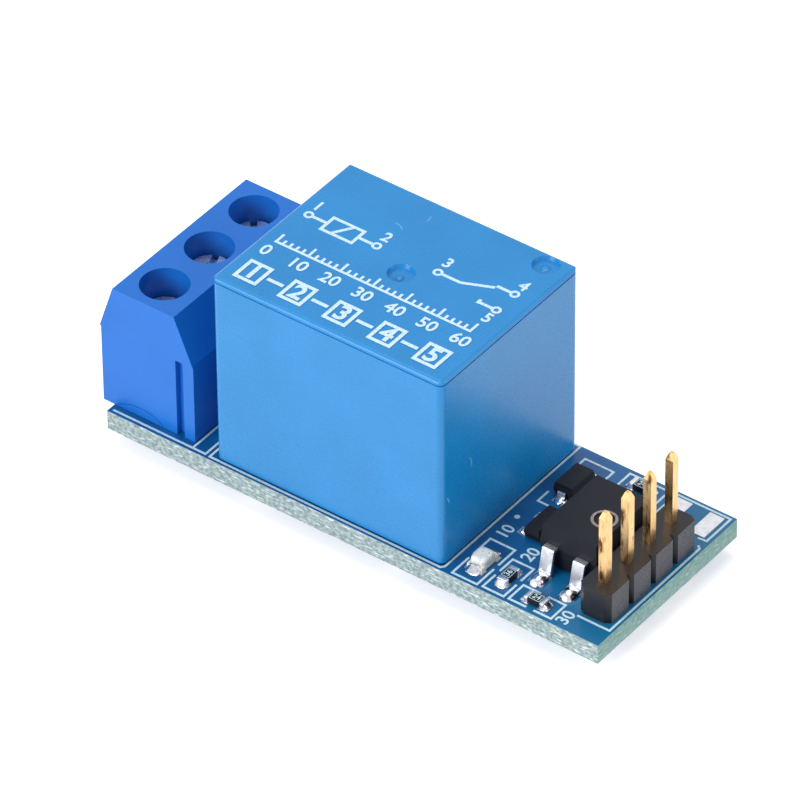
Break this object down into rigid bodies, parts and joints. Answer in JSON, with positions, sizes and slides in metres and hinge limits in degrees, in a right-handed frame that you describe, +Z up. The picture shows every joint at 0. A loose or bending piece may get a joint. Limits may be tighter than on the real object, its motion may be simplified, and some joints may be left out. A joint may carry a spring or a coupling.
{
  "type": "relay module board",
  "caption": "Small circuit board with a sealed changeover relay, a screw terminal for its contacts, a pin header and the parts that drive its coil.",
  "frame": {"origin": "centre of the module in X and Y, at the tips of the lead tails it stands on", "axes": "+X along the board from the screw terminal to the pin header, +Z up from the board through the parts"},
  "size_m": [0.0426, 0.0162, 0.019],
  "materials": {
    "board": "glossy solder mask over glass epoxy",
    "tin": "tinned",
    "solder": "bright solder",
    "terminal_blue": "moulded nylon",
    "plated_steel": "nickel-plated",
    "cage_brass": "plain brass",
    "tinned_brass": "tinned brass",
    "relay_base_plastic": "moulded",
    "relay_blue": "moulded, satin",
    "bobbin_plastic": "moulded",
    "copper_wire": "enamelled copper",
    "soft_iron": "zinc-plated iron",
    "spring_bronze": "spring bronze",
    "header_black": "moulded",
    "gold_pin": "gold flash",
    "epoxy_black": "moulded epoxy",
    "led_board": "white laminate",
    "led_epoxy": "milky epoxy",
    "chip": "glazed ceramic with tinned ends"
  },
  "bodies": {
    "module": {"circuit_board": "board", "solder_pads": "tin", "lead_solder": "solder", "pad_solder": "solder", "terminal_housing": "terminal_blue", "terminal_contact_1": "tinned_brass", "terminal_contact_2": "tinned_brass", "terminal_contact_3": "tinned_brass", "relay_base": "relay_base_plastic", "relay_cover": "relay_blue", "coil_bobbin": "bobbin_plastic", "coil_winding": "copper_wire", "coil_core": "soft_iron", "relay_yoke": "soft_iron", "common_lead": "tinned_brass", "normally_open_contact": "tinned_brass", "normally_closed_contact": "tinned_brass", "coil_lead_1": "tinned_brass", "coil_lead_2": "tinned_brass", "header_body": "header_black", "header_pin_1": "gold_pin", "header_pin_2": "gold_pin", "header_pin_3": "gold_pin", "header_pin_4": "gold_pin", "optocoupler": "epoxy_black", "opto_leads": "tin", "drive_transistor": "epoxy_black", "transistor_leads": "tin", "flyback_diode": "epoxy_black", "diode_leads": "tin", "led_base": "led_board", "led_lens": "led_epoxy", "input_resistor": "chip", "led_resistor": "chip", "base_resistor": "chip"},
    "screw_1": {"clamp_screw_1": "plated_steel"},
    "screw_2": {"clamp_screw_2": "plated_steel"},
    "screw_3": {"clamp_screw_3": "plated_steel"},
    "cage_1": {"clamp_cage_1": "cage_brass"},
    "cage_2": {"clamp_cage_2": "cage_brass"},
    "cage_3": {"clamp_cage_3": "cage_brass"},
    "armature_set": {"armature": "soft_iron", "contact_spring": "spring_bronze"}
  },
  "joints": [
    {"name": "screw_1_turn", "type": "hinge", "parent": "module", "child": "screw_1", "pos_m": [-0.01751, -0.00485, 0.011], "axis": [0, 0, -1], "range_deg": [0, 1040]},
    {"name": "screw_2_turn", "type": "hinge", "parent": "module", "child": "screw_2", "pos_m": [-0.01751, 0.00015, 0.011], "axis": [0, 0, -1], "range_deg": [0, 1040]},
    {"name": "screw_3_turn", "type": "hinge", "parent": "module", "child": "screw_3", "pos_m": [-0.01751, 0.00515, 0.011], "axis": [0, 0, -1], "range_deg": [0, 1040]},
    {"name": "cage_1_rise", "type": "slide", "parent": "module", "child": "cage_1", "axis": [0, 0, 1], "range_m": [0, 0.0013]},
    {"name": "cage_2_rise", "type": "slide", "parent": "module", "child": "cage_2", "axis": [0, 0, 1], "range_m": [0, 0.0013]},
    {"name": "cage_3_rise", "type": "slide", "parent": "module", "child": "cage_3", "axis": [0, 0, 1], "range_m": [0, 0.0013]},
    {"name": "armature_close", "type": "hinge", "parent": "module", "child": "armature_set", "pos_m": [0.00514, 0, 0.0146], "axis": [0, -1, 0], "range_deg": [0, 2.2], "stiffness_Nm_per_rad": 0.02, "springref_deg": -5.73}
  ],
  "couplings": [
    {"joint": "screw_1_turn", "follows": "cage_1_rise", "rad_per_m": 13963},
    {"joint": "screw_2_turn", "follows": "cage_2_rise", "rad_per_m": 13963},
    {"joint": "screw_3_turn", "follows": "cage_3_rise", "rad_per_m": 13963}
  ]
}
